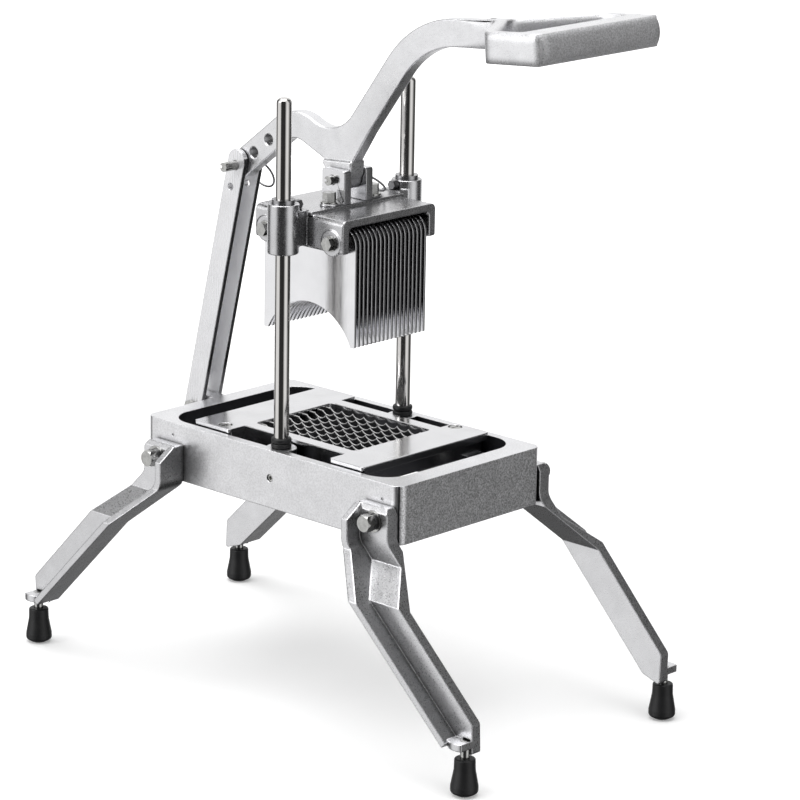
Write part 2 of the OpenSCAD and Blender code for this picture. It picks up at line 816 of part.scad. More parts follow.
module clevis_ears() color("gainsboro") both_sides() difference() {
    union() {
        slab_y([ear_in, ear_out]) translate([guide_x, 0]) polygon(rounded(
            [
                [ear_x[0], deck_top],
                [ear_x[1], deck_top],
                [ear_x[1], ear_top],
                [ear_x[0], ear_top]
            ],
            [0, 0, 2.5, 2.5]
        ));
        translate([clevis_bolt_x, 0, deck_top]) linear_extrude(ear_foot_t) {
            translate([0, clevis_bolt_y]) circle(d = clevis_washer[0] + 1);
            translate([-clevis_washer[0] / 2 - 0.5, ear_in + ear_t / 2])
                square([clevis_washer[0] + 1, clevis_bolt_y - ear_in - ear_t / 2]);
        }
    }
    pin_y(head_pivot, [0, half_w], pivot_d + 2 * fit_gap);
    translate([clevis_bolt_x, clevis_bolt_y, deck_top - cut])
        cylinder(h = ear_foot_t + 2 * cut, d = clevis_bolt_d + 2 * screw_gap);
}

module clevis_washers() color("lightgray") both_sides()
    translate([clevis_bolt_x, clevis_bolt_y, deck_top + ear_foot_t]) difference() {
        cylinder(h = clevis_washer[1], d = clevis_washer[0]);
        translate([0, 0, -cut])
            cylinder(h = clevis_washer[1] + 2 * cut, d = clevis_bolt_d + 2 * screw_gap);
    }

module clevis_bolts() color("silver") both_sides()
    translate([clevis_bolt_x, clevis_bolt_y, head_top - head_plate_t + 1]) {
        seat = deck_top + ear_foot_t + clevis_washer[1] - (head_top - head_plate_t + 1);
        cylinder(h = seat + cut, d = clevis_bolt_d);
        translate([0, 0, seat])
            cylinder(h = clevis_bolt_head[1], d = clevis_bolt_head[0] / cos(30), $fn = 6);
    }

// Pivot pin with a notched near end and a crosswise hole for its ring
module ring_pin(at, near, far) difference() {
    pin_y(at, [near, far + pin_tail], pivot_d);
    translate([at[0], near, at[1]]) box([-pivot_d, -cut, -1.2], [0, 2.5, 1.2]);
    translate([at[0] - pivot_d, far + pin_tail / 2, at[1]]) rotate([0, 90, 0])
        cylinder(h = 2 * pivot_d, d = ring_hole);
}

module clevis_pin() color("lightgray") ring_pin(head_pivot, -ear_out - clevis_pin_out, ear_out);

module clevis_pin_ring() color("lightgray") wire_ring(head_pivot, ear_out + pin_tail / 2, 50);

// Finger plates: thin combs of the pusher, held apart by spacers on two long bolts

module plate_side() {
    half_l = plate_l / 2;
    half_arch = half_l - 4.9;
    rise = arch_high - plate_low;
    arch_r = (half_arch * half_arch + rise * rise) / 2 / rise;
    difference() {
        polygon(rounded(
            [
                [-half_l, rim_z + plate_low],
                [half_l, rim_z + plate_low],
                [half_l, plate_top],
                [-half_l, plate_top]
            ],
            [1, 1, 14, 14],
            8
        ));
        translate([0, rim_z + arch_high - arch_r]) circle(arch_r, $fn = 96);
        for (end = [-1, 1])
            translate([end * plate_bolt_x, plate_bolt_z]) circle(d = plate_bolt_d + screw_gap);
    }
}

module pusher_plates() color("silver") for (i = [0 : plate_count - 1])
    translate([guide_x, (i - (plate_count - 1) / 2) * pitch, 0])
    slab_y([-plate_t / 2, plate_t / 2]) plate_side();

module plate_spacers() color("gray") for (end = [-1, 1]) {
    at = [guide_x + end * plate_bolt_x, plate_bolt_z];
    for (i = [0 : plate_count - 2]) {
        y = (i - plate_count / 2 + 1) * pitch;
        ring_y(at, [y - (pitch - plate_t) / 2, y + (pitch - plate_t) / 2], spacer_d,
            plate_bolt_d + screw_gap);
    }
    both_sides() ring_y(at, [plate_face, half_head - head_wall], spacer_d,
        plate_bolt_d + screw_gap);
}

module plate_bolts() color("silver") for (end = [-1, 1]) {
    at = [guide_x + end * plate_bolt_x, plate_bolt_z];
    face = boss_face + plate_washer[1];
    pin_y(at, [-face - cut, face + nut_t + 1.8], plate_bolt_d);
    hex_y(at, [-face - plate_bolt_head[1], -face], plate_bolt_head[0]);
}

module plate_bolt_washers() color("lightgray") for (end = [-1, 1]) both_sides()
    ring_y([guide_x + end * plate_bolt_x, plate_bolt_z],
        [boss_face, boss_face + plate_washer[1]], plate_washer[0], plate_bolt_d + screw_gap);

module plate_bolt_nuts() color("silver") for (end = [-1, 1]) difference() {
    at = [guide_x + end * plate_bolt_x, plate_bolt_z];
    face = boss_face + plate_washer[1];
    hex_y(at, [face, face + nut_t], nut_across);
    pin_y(at, [face - cut, face + nut_t + cut], plate_bolt_d + 2 * fit_gap);
}

// Lever: bent bar with a hub at its middle pivot and a handle loop at its front end

// Edge of the bar, side 1 above its middle line and side -1 below it
function bar_edge(side) = concat(
    arc(crest_at, crest_r + side * lever_w / 2, 90 + tail_rise, 90 - dip_fall, 12),
    arc(dip_at, dip_r - side * lever_w / 2, 270 - dip_fall, 270 + neck_rise, 14),
    arc(shoulder_at, shoulder_r + side * lever_w / 2, 90 + neck_rise, 90 + handle_rise, 14),
    [
        bar_end + side * lever_w / 2 * heading(90 + handle_rise)
            + (loop_neck + 2) * heading(handle_rise)
    ]
);

module bar_side() {
    upper = bar_edge(1);
    lower = bar_edge(-1);
    polygon(concat(
        arc(top_pivot, lever_w / 2, 270 + tail_rise, 90 + tail_rise, 12),
        upper,
        [for (i = [len(lower) - 1 : -1 : 0]) lower[i]]
    ));
}

module hub_side() translate(head_pivot) {
    circle(hub_r);
    polygon([hub_rear, [hub_rear[0], 10], [-hub_r, -1], [hub_r - 0.4, -0.4], [12, 4], hub_front]);
}

// Part of the bar that runs straight down to the hub's upper corners
module hub_core_side() {
    tail_edge = dip_at + (dip_r + lever_w / 2) * heading(270 - dip_fall);
    neck_edge = dip_at + (dip_r + lever_w / 2) * heading(270 + neck_rise);
    polygon([
        tail_edge,
        head_pivot + hub_rear,
        head_pivot,
        head_pivot + hub_front,
        neck_edge,
        neck_edge + 8 * heading(neck_rise + 90),
        tail_edge + 8 * heading(90 - dip_fall)
    ]);
}

module loop_plan() difference() {
    polygon(rounded(
        [
            [loop_neck - 10, -lever_t / 2],
            [loop_neck, -lever_t / 2],
            [loop_rear, -loop_w / 2],
            [loop_front, -loop_w / 2],
            [loop_front, loop_w / 2],
            [loop_rear, loop_w / 2],
            [loop_neck, lever_t / 2],
            [loop_neck - 10, lever_t / 2]
        ],
        [0, 8, 5, 3, 3, 5, 8, 0]
    ));
    polygon(rounded(
        [
            [hole_rear, -4],
            [loop_rear + 4.5, loop_wall - loop_w / 2],
            [hole_front, loop_wall - loop_w / 2],
            [hole_front, loop_w / 2 - loop_wall],
            [loop_rear + 4.5, loop_w / 2 - loop_wall],
            [hole_rear, 4]
        ],
        [3, 5, 5, 5, 5, 3]
    ));
}

module handle_loop() translate([bar_end[0], 0, bar_end[1]]) rotate([0, -handle_rise, 0]) {
    translate([0, 0, -loop_h / 2]) linear_extrude(loop_h) loop_plan();
    intersection() {
        crown_r = (pow(loop_h / 2, 2) + pow(loop_crown, 2)) / 2 / loop_crown;
        pin_y([loop_front + loop_crown - crown_r, 0], [3 - loop_w / 2, loop_w / 2 - 3],
            2 * crown_r);
        box([hole_front + 4, -loop_w, -loop_h / 2],
            [loop_front + loop_crown, loop_w, loop_h / 2]);
    }
}

module lever() color("silver") difference() {
    union() {
        slab_y([-lever_t / 2, lever_t / 2]) bar_side();
        slab_y([-lever_t / 2, lever_t / 2]) hub_core_side();
        slab_y([-hub_t / 2, hub_t / 2]) hub_side();
        handle_loop();
    }
    for (at = [top_pivot, head_pivot])
        pin_y(at, [-half_w, half_w], pivot_d + 2 * fit_gap);
    for (along = spare_holes)
        pin_y(top_pivot + along * heading(tail_rise), [-half_w, half_w], spare_hole_d);
}

// Link: channel open to the front, from the lug on the base to the rear end of the lever

module link_flange_outline() polygon(rounded(
    [
        [-link_front, -13],
        [link_front, -13],
        [link_front, link_l + 14],
        [-link_front, link_l + 14]
    ],
    [6, 6, link_end_r, link_end_r],
    10
));

module link() color("gainsboro")
    translate([foot_pivot[0], 0, foot_pivot[1]]) rotate([0, link_lean, 0]) difference() {
        union() {
            both_sides() slab_y([link_in, link_half]) link_flange_outline();
            box([-link_front, -link_in - cut, web_ends[0]],
                [flange_t - link_front, link_in + cut, web_ends[1]]);
        }
        pin_y([0, link_l], [-half_w, half_w], pivot_d + 2 * fit_gap);
        pin_y([0, 0], [-half_w, half_w], 2 * slot_half);
        box([0, -half_w, -slot_half], [link_depth, half_w, slot_half]);
        pin_y([-1, link_l - 20], [-half_w, half_w], 6);
    }

module link_pin() color("lightgray")
    ring_pin(top_pivot, -link_half - 14, link_half);

module link_pin_ring() color("lightgray") wire_ring(top_pivot, link_half + pin_tail / 2, 25);

base_frame();
leg_front_left();
leg_front_right();
leg_rear_left();
leg_rear_right();
leg_bolts();
leg_washers();
leg_spring_washers();
leg_nuts();
foot_studs();
foot_front_left();
foot_front_right();
foot_rear_left();
foot_rear_right();
guide_rod_left();
guide_rod_right();
rod_set_screws();
rod_bumpers();
blade_frame();
upper_blades();
lower_blades();
blade_pins();
frame_screws();
frame_screw_nuts();
link_foot_pin();
link_foot_clip();
head_casting();
guide_bushings();
bushing_screws();
clevis_ears();
clevis_bolts();
clevis_washers();
clevis_pin();
clevis_pin_ring();
pusher_plates();
plate_spacers();
plate_bolts();
plate_bolt_washers();
plate_bolt_nuts();
lever();
link();
link_pin();
link_pin_ring();
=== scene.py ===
import math

import bmesh
import bpy
from mathutils import Matrix, Vector


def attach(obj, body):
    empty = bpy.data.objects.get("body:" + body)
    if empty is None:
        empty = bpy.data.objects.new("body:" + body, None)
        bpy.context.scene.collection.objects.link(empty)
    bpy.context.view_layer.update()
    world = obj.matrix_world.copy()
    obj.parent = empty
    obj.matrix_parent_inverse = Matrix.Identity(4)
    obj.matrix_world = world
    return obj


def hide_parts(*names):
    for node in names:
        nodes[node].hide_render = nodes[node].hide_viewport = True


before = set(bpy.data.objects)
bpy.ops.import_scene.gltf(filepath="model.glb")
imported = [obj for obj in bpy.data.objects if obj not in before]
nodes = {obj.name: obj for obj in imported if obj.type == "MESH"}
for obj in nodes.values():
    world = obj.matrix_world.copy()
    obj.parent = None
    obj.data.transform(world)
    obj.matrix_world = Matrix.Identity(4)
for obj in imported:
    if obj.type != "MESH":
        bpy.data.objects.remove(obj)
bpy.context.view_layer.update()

# Camera: a long lens 3 m away and 1 m above the table, at the viewing angle of the photograph.
# It looks down by 15 degrees at the middle of the object, over the near corner of the base.
CAMERA_AT = Vector((1.95973, -2.04123, 1.03151))
CAMERA_TURN = math.radians(47.055)
CAMERA_FALL = math.radians(15.4715)
CAMERA_ROLL = math.radians(1.027)
LENS_MM = 157.79
SENSOR_MM = 36

look = Vector((
    -math.cos(CAMERA_FALL) * math.cos(CAMERA_TURN),
    math.cos(CAMERA_FALL) * math.sin(CAMERA_TURN),
    -math.sin(CAMERA_FALL),
))
level = look.cross(Vector((0, 0, 1))).normalized()
rise = level.cross(look)
turned_x = level * math.cos(CAMERA_ROLL) + rise * math.sin(CAMERA_ROLL)
turned_y = rise * math.cos(CAMERA_ROLL) - level * math.sin(CAMERA_ROLL)
camera = bpy.data.objects.new("camera", bpy.data.cameras.new("camera"))
camera.data.sensor_width = SENSOR_MM
camera.data.lens = LENS_MM
camera.data.clip_start = 0.1
camera.data.clip_end = 50
camera.matrix_world = (
    Matrix.Translation(CAMERA_AT)
    @ Matrix((turned_x, turned_y, -look)).transposed().to_4x4()
)
bpy.context.scene.collection.objects.link(camera)
bpy.context.scene.camera = camera
bpy.context.scene.view_settings.view_transform = "Standard"

# Studio: a white room. Polished metal shows soft boxes at the left and right, and between
# them the unlit parts of the room as dark bands.
WHITE = (1, 1, 1, 1)
TENT_WHITE = (0.9, 0.9, 0.9, 1)
SOFT_FILL = 0.62
# Brightness of the room seen in metal, by degrees from the camera, to the right of it
ROOM = [
    (-180, 1.0), (-146, 1.0), (-132, 0.06), (-112, 0.06), (-100, 0.95), (-52, 1.0),
    (-40, 0.04), (18, 0.03), (30, 0.55), (40, 1.0), (66, 1.0), (80, 0.30), (92, 0.05),
    (128, 0.06), (144, 1.0), (180, 1.0),
]
# Share of the white tent overhead, and brightness of the dim table below, both by height,
# from 0 straight down to 1 straight up
TENT = [(0.0, 0), (0.90, 0), (0.97, 1), (1.0, 1)]
TABLE = [(0.0, 0.16), (0.17, 0.14), (0.25, 1.0), (1.0, 1.0)]
# Sockets of a Mix node set to colours: the share, the two colours and the result
SHARE, FIRST, SECOND, MIXED = 0, 6, 7, 2


def add(tree, kind, values=(), **settings):
    """Adds one node; values gives its sockets a value, or another node's output to link."""
    made = tree.nodes.new(kind)
    for setting, value in settings.items():
        setattr(made, setting, value)
    for socket, value in values:
        if isinstance(value, bpy.types.NodeSocket):
            tree.links.new(value, made.inputs[socket])
        else:
            made.inputs[socket].default_value = value
    return made


world = bpy.data.worlds.new("studio")
bpy.context.scene.world = world
world.use_nodes = True
tree = world.node_tree
tree.nodes.clear()
direction = add(tree, "ShaderNodeTexCoord").outputs["Generated"]
to_camera = math.atan2(CAMERA_AT.y, CAMERA_AT.x)
turned = add(tree, "ShaderNodeMapping", [("Vector", direction), ("Rotation", (0, 0, -to_camera))])
around = add(tree, "ShaderNodeTexGradient", [("Vector", turned.outputs[0])],
             gradient_type="RADIAL")
room = add(tree, "ShaderNodeValToRGB", [("Fac", around.outputs["Fac"])])
upright = add(tree, "ShaderNodeSeparateXYZ", [("Vector", direction)])
height = add(tree, "ShaderNodeMapRange", [
    ("Value", upright.outputs["Z"]), ("From Min", -1.0), ("From Max", 1.0)])
tent = add(tree, "ShaderNodeValToRGB", [("Fac", height.outputs[0])])
table = add(tree, "ShaderNodeValToRGB", [("Fac", height.outputs[0])])
by_turn = [(0.5 + degrees / 360, grey) for degrees, grey in ROOM]
for ramp, stops in ((room, by_turn), (tent, TENT), (table, TABLE)):
    elements = ramp.color_ramp.elements
    elements.remove(elements[-1])
    for i, (position, grey) in enumerate(stops):
        stop = elements[0] if i == 0 else elements.new(position)
        stop.position = position
        stop.color = (grey, grey, grey, 1)
walls = add(tree, "ShaderNodeMix", [
    (SHARE, tent.outputs["Color"]), (FIRST, room.outputs["Color"]), (SECOND, TENT_WHITE)],
    data_type="RGBA")
seen_in_metal = add(tree, "ShaderNodeMix", [
    (SHARE, 1.0), (FIRST, walls.outputs[MIXED]), (SECOND, table.outputs["Color"])],
    data_type="RGBA", blend_type="MULTIPLY")
white = add(tree, "ShaderNodeBackground", [("Color", WHITE), ("Strength", 1.0)])
metal_room = add(tree, "ShaderNodeBackground", [
    ("Color", seen_in_metal.outputs[MIXED]), ("Strength", 1.0)])
soft_fill = add(tree, "ShaderNodeBackground", [("Color", WHITE), ("Strength", SOFT_FILL)])
path = add(tree, "ShaderNodeLightPath")
unlit = add(tree, "ShaderNodeMixShader", [
    ("Fac", path.outputs["Is Glossy Ray"]), (1, soft_fill.outputs[0]),
    (2, metal_room.outputs[0])])
seen_through = add(tree, "ShaderNodeMath", [
    (0, path.outputs["Is Camera Ray"]), (1, path.outputs["Is Transmission Ray"])],
    operation="MAXIMUM")
shown = add(tree, "ShaderNodeMixShader", [
    ("Fac", seen_through.outputs[0]), (1, unlit.outputs[0]), (2, white.outputs[0])])
add(tree, "ShaderNodeOutputWorld", [("Surface", shown.outputs[0])])

# Floor: a large sweep of pale paper at the height of the feet, which keeps a soft shadow of
# the object and is as white as the backdrop elsewhere.
FLOOR_HALF = 12.0
PAPER = (0.84, 0.84, 0.84, 1)
SHADOW_FROM = 0.5
SHADOW_TO = 2.2


def empty_material(name):
    """A material without nodes, and its node tree."""
    made = bpy.data.materials.new(name)
    made.use_nodes = True
    made.node_tree.nodes.clear()
    return made, made.node_tree


# Paper is dull and even. A painted glow on it grows away from the object, so far out it is as
# white as the backdrop and near the object it is painted darker
pale, tree = empty_material("pale_paper_sweep")
paper = add(tree, "ShaderNodeBsdfDiffuse", [("Color", PAPER)])
place = add(tree, "ShaderNodeTexCoord").outputs["Object"]
reach = add(tree, "ShaderNodeVectorMath", [("Vector", place)], operation="LENGTH")
painted_glow_by_reach = add(tree, "ShaderNodeMapRange", [
    ("Value", reach.outputs["Value"]), ("From Min", SHADOW_FROM), ("From Max", SHADOW_TO),
    ("To Min", 0.24), ("To Max", 0.9)], interpolation_type="SMOOTHSTEP")
# Painted light: camera-only glow, weaker near the object
painted_glow = add(tree, "ShaderNodeEmission", [("Color", WHITE), ("Strength", painted_glow_by_reach.outputs[0])])
lit = add(tree, "ShaderNodeAddShader", [(0, paper.outputs[0]), (1, painted_glow.outputs[0])])
path = add(tree, "ShaderNodeLightPath")
shown = add(tree, "ShaderNodeMixShader", [
    ("Fac", path.outputs["Is Camera Ray"]), (1, paper.outputs[0]), (2, lit.outputs[0])])
add(tree, "ShaderNodeOutputMaterial", [("Surface", shown.outputs[0])])

form = bmesh.new()
bmesh.ops.create_grid(form, x_segments=1, y_segments=1, size=FLOOR_HALF)
floor_mesh = bpy.data.meshes.new("floor")
form.to_mesh(floor_mesh)
form.free()
floor_mesh.materials.append(pale)
floor = bpy.data.objects.new("floor", floor_mesh)
bpy.context.scene.collection.objects.link(floor)
floor.visible_glossy = False

# Lamps: a wide soft box overhead and a weaker one at the left, both plain white. They light
# the object at a plain level and give it a soft shadow.
LAMPS = [
    ("overhead_soft_box", (-0.2, -0.3, 2.6), 2.2, 46),
    ("left_soft_box", (-1.2, -2.6, 1.5), 1.6, 22),
]
LAMP_AIM = Vector((0, 0, 0.25))

for lamp_name, at, size, watts in LAMPS:
    lamp_data = bpy.data.lights.new(lamp_name, "AREA")
    lamp_data.size = size
    lamp_data.energy = watts
    lamp = bpy.data.objects.new(lamp_name, lamp_data)
    lamp.location = at
    lamp.rotation_euler = (LAMP_AIM - Vector(at)).to_track_quat("-Z", "Y").to_euler()
    bpy.context.scene.collection.objects.link(lamp)

# Base frame: an open box, sand cast in aluminium, with bosses for the rods and ledges for the
# blade frame. It is tumbled with stones until its skin is bright with a fine grain.
BASE_EDGE = 0.0004
BASE_GREY = "#F6F6F8"
BASE_ROUGHNESS = 0.35
BASE_GRAIN = 0.00007
# Half the length and width of the opening, and the middle of its length
OPENING_HALF_L = 0.1455
OPENING_HALF_W = 0.0845
OPENING_MID_X = -0.0065
# Share of a face's normal that tells the flat rim and the end walls from the other walls
RIM_FACING = 0.6
END_FACING = 0.7
# Points of a CAD mesh nearer than MERGE are one, faces that turn by less than FLAT are joined,
# edges that turn by more than SHARP are rounded over, and past SHADING_BREAK shading breaks
MERGE = 0.000002
FLAT = math.radians(0.3)
SHARP = math.radians(28)
SHADING_BREAK = math.radians(38)
# Patterns of a cast skin: dents of the tumbling stones, which are drawn coarser than the real
# 0.3 mm so that they show, patches of uneven polish, and shallow waves left by the sand
DENT = 0.001176
POLISH_PATCH = 0.01818
SAND_WAVE = 0.01333
WAVE_DEPTH = 0.00022
# How far from an inner corner the colour is darkened as painted shade
CREASE_SHADE_REACH = 0.008


def linear(code):
    """sRGB hex value as a linear colour."""
    values = [int(code[i:i + 2], 16) / 255 for i in (1, 3, 5)]
    return (*[v / 12.92 if v <= 0.04045 else ((v + 0.055) / 1.055) ** 2.4 for v in values], 1)


def rounded_copy(name, node, radius, segments=3):
    """A copy of a CAD node with its triangles joined and its sharp edges rounded over."""
    form = bmesh.new()
    form.from_mesh(nodes[node].data)
    bmesh.ops.remove_doubles(form, verts=form.verts, dist=MERGE)
    bmesh.ops.dissolve_limit(form, angle_limit=FLAT, use_dissolve_boundaries=False,
                             verts=form.verts, edges=form.edges)
    sharp = [edge for edge in form.edges
             if edge.is_manifold and edge.calc_face_angle() > SHARP]
    bmesh.ops.bevel(form, geom=sharp, offset=radius, offset_type="OFFSET", affect="EDGES",
                    segments=segments, profile=0.5, material=-1, clamp_overlap=False)
    bmesh.ops.dissolve_degenerate(form, dist=MERGE / 2, edges=form.edges)
    for face in form.faces:
        face.smooth = True
    mesh = bpy.data.meshes.new(name)
    form.to_mesh(mesh)
    form.free()
    mesh.set_sharp_from_angle(angle=SHADING_BREAK)
    piece = bpy.data.objects.new(name, mesh)
    bpy.context.scene.collection.objects.link(piece)
    even = piece.modifiers.new("even_shading", "WEIGHTED_NORMAL")
    even.mode = "FACE_AREA"
    even.keep_sharp = True
    return piece


def set_finish(piece, finish):
    """Gives a piece or a CAD node one material."""
    piece.data.materials.clear()
    piece.data.materials.append(finish)


def cast_aluminium(name, grey, roughness, grain, soft_edge=0.0012, speckle=0.8, metallic=1.0,
                   grip_edge=None, grip_x=None):
    """Tumbled aluminium casting. To the eye: a soft bright metal with a fine stone grain, cloudy
    polish and slightly wavy reflections, with painted shade darkening its colour in the creases.

    grain is how deep the dents are, soft_edge how far the edges look worn, and speckle how
    dark the dents are, with 1 for no darker. Where grip_edge is given, the wear of the edges
    grows to it between the two places of grip_x.
    """
    finish, tree = empty_material(name)
    place = add(tree, "ShaderNodeTexCoord").outputs["Object"]
    patches = add(tree, "ShaderNodeTexNoise", [
        ("Vector", place), ("Scale", 1 / POLISH_PATCH), ("Detail", 4.0), ("Roughness", 0.6)])
    dents = add(tree, "ShaderNodeTexNoise", [
        ("Vector", place), ("Scale", 1 / DENT), ("Detail", 2.0), ("Roughness", 0.6)])
    polish = add(tree, "ShaderNodeMapRange", [
        ("Value", patches.outputs["Fac"]), ("From Min", 0.3), ("From Max", 0.7),
        ("To Min", 0.90), ("To Max", 1.0)])
    shade = add(tree, "ShaderNodeMapRange", [
        ("Value", dents.outputs["Fac"]), ("From Min", 0.35), ("From Max", 0.65),
        ("To Min", speckle), ("To Max", 1.0)])
    # Painted shade: ambient occlusion darkens the colour near inner corners and in creases
    crease = add(tree, "ShaderNodeAmbientOcclusion", [("Distance", CREASE_SHADE_REACH)], samples=8)
    painted_crease_shade = add(tree, "ShaderNodeMapRange", [
        ("Value", crease.outputs["AO"]), ("From Min", 0.3), ("From Max", 0.8),
        ("To Min", 0.15), ("To Max", 1.0)])
    colour = linear(grey)
    for layer in (polish, shade, painted_crease_shade):
        darkened = add(tree, "ShaderNodeMix", [
            (SHARE, 1.0), (FIRST, colour), (SECOND, layer.outputs[0])],
            data_type="RGBA", blend_type="MULTIPLY")
        colour = darkened.outputs[MIXED]
    rough = add(tree, "ShaderNodeMapRange", [
        ("Value", dents.outputs["Fac"]), ("From Min", 0.3), ("From Max", 0.7),
        ("To Min", roughness - 0.05), ("To Max", roughness + 0.06)])
    waves = add(tree, "ShaderNodeTexNoise", [
        ("Vector", place), ("Scale", 1 / SAND_WAVE), ("Detail", 1.0)])
    wavy = add(tree, "ShaderNodeBump", [
        ("Height", waves.outputs["Fac"]), ("Strength", 1.0), ("Distance", WAVE_DEPTH)])
    worn = soft_edge
    if grip_edge:
        along = add(tree, "ShaderNodeSeparateXYZ", [("Vector", place)])
        worn = add(tree, "ShaderNodeMapRange", [
            ("Value", along.outputs["X"]), ("From Min", grip_x[0]), ("From Max", grip_x[1]),
            ("To Min", soft_edge), ("To Max", grip_edge)]).outputs[0]
    soft = add(tree, "ShaderNodeBevel", [("Radius", worn), ("Normal", wavy.outputs[0])],
               samples=6)
    skin = add(tree, "ShaderNodeBump", [
        ("Height", dents.outputs["Fac"]), ("Strength", 1.0), ("Distance", grain),
        ("Normal", soft.outputs[0])])
    metal = add(tree, "ShaderNodeBsdfPrincipled", [
        ("Base Color", colour), ("Metallic", metallic), ("Roughness", rough.outputs[0]),
        ("Normal", skin.outputs[0])])
    add(tree, "ShaderNodeOutputMaterial", [("Surface", metal.outputs[0])])
    return finish


base = rounded_copy("base_casting", "base_frame", BASE_EDGE)
set_finish(base, cast_aluminium("tumbled_cast_aluminium", BASE_GREY, BASE_ROUGHNESS, BASE_GRAIN))
# The walls of the opening get a dark grey copy of the casting, painted shade where little light
# reaches inside
base.data.materials.append(cast_aluminium("painted_shade_inside_walls", "#46464A", 0.5, 0.000022))
# The two end walls keep more of the mould's grain than the long walls, and look speckled
base.data.materials.append(cast_aluminium(
    "coarse_cast_aluminium", BASE_GREY, BASE_ROUGHNESS, BASE_GRAIN, speckle=0.4, metallic=0.84))
# Walls inside the opening, but not the flat rim, take the painted shade; the end walls take the
# coarse grain
for face in base.data.polygons:
    within_length = abs(face.center.x - OPENING_MID_X) < OPENING_HALF_L
    within_width = abs(face.center.y) < OPENING_HALF_W
    if within_length and within_width and face.normal.z < RIM_FACING:
        face.material_index = 1
    elif abs(face.normal.x) > END_FACING:
        face.material_index = 2
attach(base, "base")
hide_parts("base_frame")

# Legs: four angle castings of the same aluminium, bolted to the long walls of the base. Their
# tumbled skin is a little smoother and darker than the skin of the base.
LEG_EDGE = 0.0004

leg_skin = cast_aluminium("tumbled_leg_aluminium", "#E6E6E8", 0.30, 0.00002,
                          soft_edge=0.0013, speckle=0.88)
for corner in ("front_left", "front_right", "rear_left", "rear_right"):
    leg = rounded_copy(f"leg_{corner}_casting", f"leg_{corner}", LEG_EDGE)
    set_finish(leg, leg_skin)
    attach(leg, "base")
    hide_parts(f"leg_{corner}")

# Fasteners: hex bolts, washers, nuts, pins and screws of turned, zinc plated steel. The spring
# washers, the foot's clip, the wire rings and the bushings' screws are oiled and not plated.
TURNED_EDGE = 0.0003
# Patterns of turned steel: marks of the tool, drawn coarser than the real 0.1 mm so that they
# show, and stains of the plating bath
TOOL_MARK = 0.000714
BATH_STAIN = 0.003846


def turned_steel(name, grey, roughness):
    """Turned steel. To the eye: a hard shine with fine marks, broken by small duller stains."""
    finish, tree = empty_material(name)
    place = add(tree, "ShaderNodeTexCoord").outputs["Object"]
    marks = add(tree, "ShaderNodeTexNoise", [
        ("Vector", place), ("Scale", 1 / TOOL_MARK), ("Detail", 2.0)])
    stains = add(tree, "ShaderNodeTexNoise", [
        ("Vector", place), ("Scale", 1 / BATH_STAIN), ("Detail", 3.0)])
    tone = add(tree, "ShaderNodeMapRange", [
        ("Value", stains.outputs["Fac"]), ("From Min", 0.35), ("From Max", 0.7),
        ("To Min", 0.78), ("To Max", 1.0)])
    colour = add(tree, "ShaderNodeMix", [
        (SHARE, 1.0), (FIRST, linear(grey)), (SECOND, tone.outputs[0])],
        data_type="RGBA", blend_type="MULTIPLY")
    rough = add(tree, "ShaderNodeMapRange", [
        ("Value", marks.outputs["Fac"]), ("From Min", 0.3), ("From Max", 0.7),
        ("To Min", roughness - 0.05), ("To Max", roughness + 0.08)])
    relief = add(tree, "ShaderNodeBump", [
        ("Height", marks.outputs["Fac"]), ("Strength", 1.0), ("Distance", 0.000008)])
    soft = add(tree, "ShaderNodeBevel", [
        ("Radius", TURNED_EDGE), ("Normal", relief.outputs[0])], samples=4)
    metal = add(tree, "ShaderNodeBsdfPrincipled", [
        ("Base Color", colour.outputs[MIXED]), ("Metallic", 1.0),
        ("Roughness", rough.outputs[0]), ("Normal", soft.outputs[0])])
    add(tree, "ShaderNodeOutputMaterial", [("Surface", metal.outputs[0])])
    return finish


# Zinc plate is pale and bright, and oiled steel beside it is darker and duller
plated_steel = turned_steel("turned_zinc_plated_steel", "#BEBEBC", 0.15)
spring_steel = turned_steel("oiled_spring_steel", "#8A8A8C", 0.34)
for node in ("leg_bolts", "leg_washers", "leg_nuts", "foot_studs", "rod_set_screws",
             "frame_screws", "frame_screw_nuts", "blade_pins", "plate_bolts",
             "plate_bolt_washers", "plate_bolt_nuts", "plate_spacers", "clevis_bolts",
             "clevis_washers", "clevis_pin", "link_pin", "link_foot_pin"):
    set_finish(nodes[node], plated_steel)
for node in ("leg_spring_washers", "bushing_screws", "clevis_pin_ring", "link_pin_ring",
             "link_foot_clip"):
    set_finish(nodes[node], spring_steel)

# Rubber feet and bumpers: moulded black rubber. The feet are pushed on the studs of the legs,
# and two rings lie around the foot of each rod.
PORE_DEPTH = 0.00003
# Patterns of moulded rubber: pores, drawn coarser than the real 0.2 mm so that they show, and
# patches of grey bloom
PORE = 0.001111
BLOOM_PATCH = 0.00833

# Black rubber is dull with faint soft lights, and a little greyer where it has bloomed
rubber, tree = empty_material("moulded_black_rubber")
place = add(tree, "ShaderNodeTexCoord").outputs["Object"]
pores = add(tree, "ShaderNodeTexNoise", [
    ("Vector", place), ("Scale", 1 / PORE), ("Detail", 3.0)])
bloom = add(tree, "ShaderNodeTexNoise", [
    ("Vector", place), ("Scale", 1 / BLOOM_PATCH), ("Detail", 3.0)])
colour = add(tree, "ShaderNodeMix", [
    (SHARE, bloom.outputs["Fac"]), (FIRST, linear("#0C0C0E")), (SECOND, linear("#1B1B1D"))],
    data_type="RGBA")
rough = add(tree, "ShaderNodeMapRange", [
    ("Value", pores.outputs["Fac"]), ("To Min", 0.38), ("To Max", 0.62)])
relief = add(tree, "ShaderNodeBump", [
    ("Height", pores.outputs["Fac"]), ("Strength", 1.0), ("Distance", PORE_DEPTH)])
